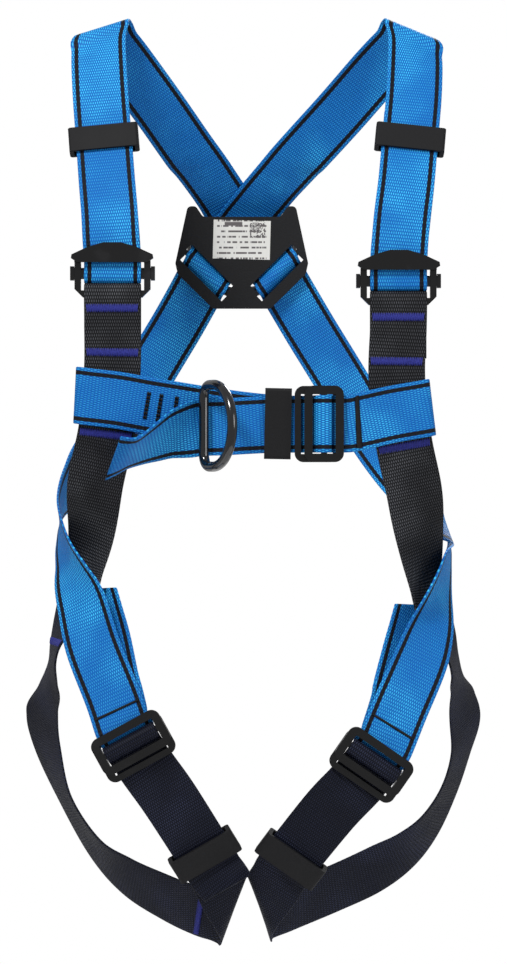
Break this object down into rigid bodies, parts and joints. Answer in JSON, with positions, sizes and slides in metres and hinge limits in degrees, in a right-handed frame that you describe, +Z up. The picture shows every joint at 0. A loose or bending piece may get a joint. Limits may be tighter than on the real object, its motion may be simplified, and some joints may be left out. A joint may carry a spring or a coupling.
{
  "type": "full body harness",
  "caption": "Full body safety harness of blue and black webbing with shoulder adjusters, chest and leg buckles, dorsal plate and two attachment rings.",
  "frame": {"origin": "middle of the dorsal ring's bar, from which the harness hangs", "axes": "+Z up, +X to the right as seen from the wearer's front, +Y towards the wearer's back"},
  "size_m": [0.3792, 0.2963, 0.7585],
  "materials": {
    "webbing_blue": "woven",
    "webbing_dark": "woven",
    "keeper_rubber": "matte",
    "plastic_black": "matte",
    "label_cream": "satin",
    "steel_gloss_black": "gloss",
    "steel_black": "satin"
  },
  "bodies": {
    "webbing": {"adjuster_frame_left": "steel_black", "adjuster_frame_right": "steel_black", "buckle_frame_chest": "steel_black", "buckle_frame_leg_left": "steel_black", "buckle_frame_leg_right": "steel_black", "chest_strap_left": "webbing_blue", "chest_strap_right": "webbing_blue", "chest_tail": "webbing_blue", "dorsal_label": "label_cream", "dorsal_plate": "plastic_black", "front_strap_left": "webbing_dark", "front_strap_right": "webbing_dark", "hip_strap_left": "webbing_blue", "hip_strap_right": "webbing_blue", "leg_strap_left": "webbing_dark", "leg_strap_right": "webbing_dark", "leg_tail_left": "webbing_dark", "leg_tail_right": "webbing_dark", "shoulder_strap_left": "webbing_blue", "shoulder_strap_right": "webbing_blue", "thigh_strap_left": "webbing_blue", "thigh_strap_right": "webbing_blue"},
    "dorsal_ring": {"dorsal_ring": "steel_gloss_black"},
    "chest_ring": {"chest_ring": "steel_gloss_black"},
    "adjuster_bar_left": {"adjuster_bar_left": "steel_black"},
    "shoulder_keeper_left": {"shoulder_keeper_left": "keeper_rubber"},
    "leg_keeper_left": {"leg_keeper_left": "keeper_rubber"},
    "adjuster_bar_right": {"adjuster_bar_right": "steel_black"},
    "shoulder_keeper_right": {"shoulder_keeper_right": "keeper_rubber"},
    "leg_keeper_right": {"leg_keeper_right": "keeper_rubber"},
    "chest_keeper": {"chest_keeper": "keeper_rubber"},
    "buckle_chest": {"buckle_plate_chest": "steel_black", "strap_turn_chest": "webbing_blue"},
    "buckle_leg_left": {"buckle_plate_leg_left": "steel_black", "strap_turn_leg_left": "webbing_dark"},
    "buckle_leg_right": {"buckle_plate_leg_right": "steel_black", "strap_turn_leg_right": "webbing_dark"}
  },
  "joints": [
    {"name": "dorsal_ring_swing", "type": "hinge", "parent": "webbing", "child": "dorsal_ring", "pos_m": [0, 0, 0], "axis": [1, 0, 0], "range_deg": [0, 125]},
    {"name": "chest_ring_swing", "type": "hinge", "parent": "webbing", "child": "chest_ring", "pos_m": [-0.029, -0.2065, -0.176], "axis": [0, 0, 1], "range_deg": [-50, 50]},
    {"name": "adjuster_bar_slide_left", "type": "slide", "parent": "webbing", "child": "adjuster_bar_left", "axis": [0, 0, 1], "range_m": [0, 0.0025]},
    {"name": "adjuster_bar_slide_right", "type": "slide", "parent": "webbing", "child": "adjuster_bar_right", "axis": [0, 0, 1], "range_m": [0, 0.0025]},
    {"name": "shoulder_keeper_slide_left", "type": "slide", "parent": "webbing", "child": "shoulder_keeper_left", "axis": [-0.085, 0.3941, 0.9151], "range_m": [-0.008, 0.008]},
    {"name": "shoulder_keeper_slide_right", "type": "slide", "parent": "webbing", "child": "shoulder_keeper_right", "axis": [0.097, 0.3931, 0.9143], "range_m": [-0.008, 0.008]},
    {"name": "leg_keeper_slide_left", "type": "slide", "parent": "webbing", "child": "leg_keeper_left", "axis": [-0.4647, -0.3698, 0.8045], "range_m": [-0.003, 0.004]},
    {"name": "leg_keeper_slide_right", "type": "slide", "parent": "webbing", "child": "leg_keeper_right", "axis": [0.5292, -0.3894, 0.7539], "range_m": [-0.003, 0.004]},
    {"name": "chest_keeper_slide", "type": "slide", "parent": "webbing", "child": "chest_keeper", "axis": [1, 0, 0], "range_m": [-0.01, 0.002]},
    {"name": "buckle_tilt_chest", "type": "hinge", "parent": "webbing", "child": "buckle_chest", "pos_m": [0.0472, -0.201, -0.1744], "axis": [0, 0, -1], "range_deg": [0, 20]},
    {"name": "buckle_tilt_leg_left", "type": "hinge", "parent": "webbing", "child": "buckle_leg_left", "pos_m": [-0.07756, -0.199, -0.44046], "axis": [0.8772, 0, 0.4801], "range_deg": [0, 20]},
    {"name": "buckle_tilt_leg_right", "type": "hinge", "parent": "webbing", "child": "buckle_leg_right", "pos_m": [0.09443, -0.199, -0.45436], "axis": [0.8218, 0, -0.5698], "range_deg": [0, 20]}
  ]
}
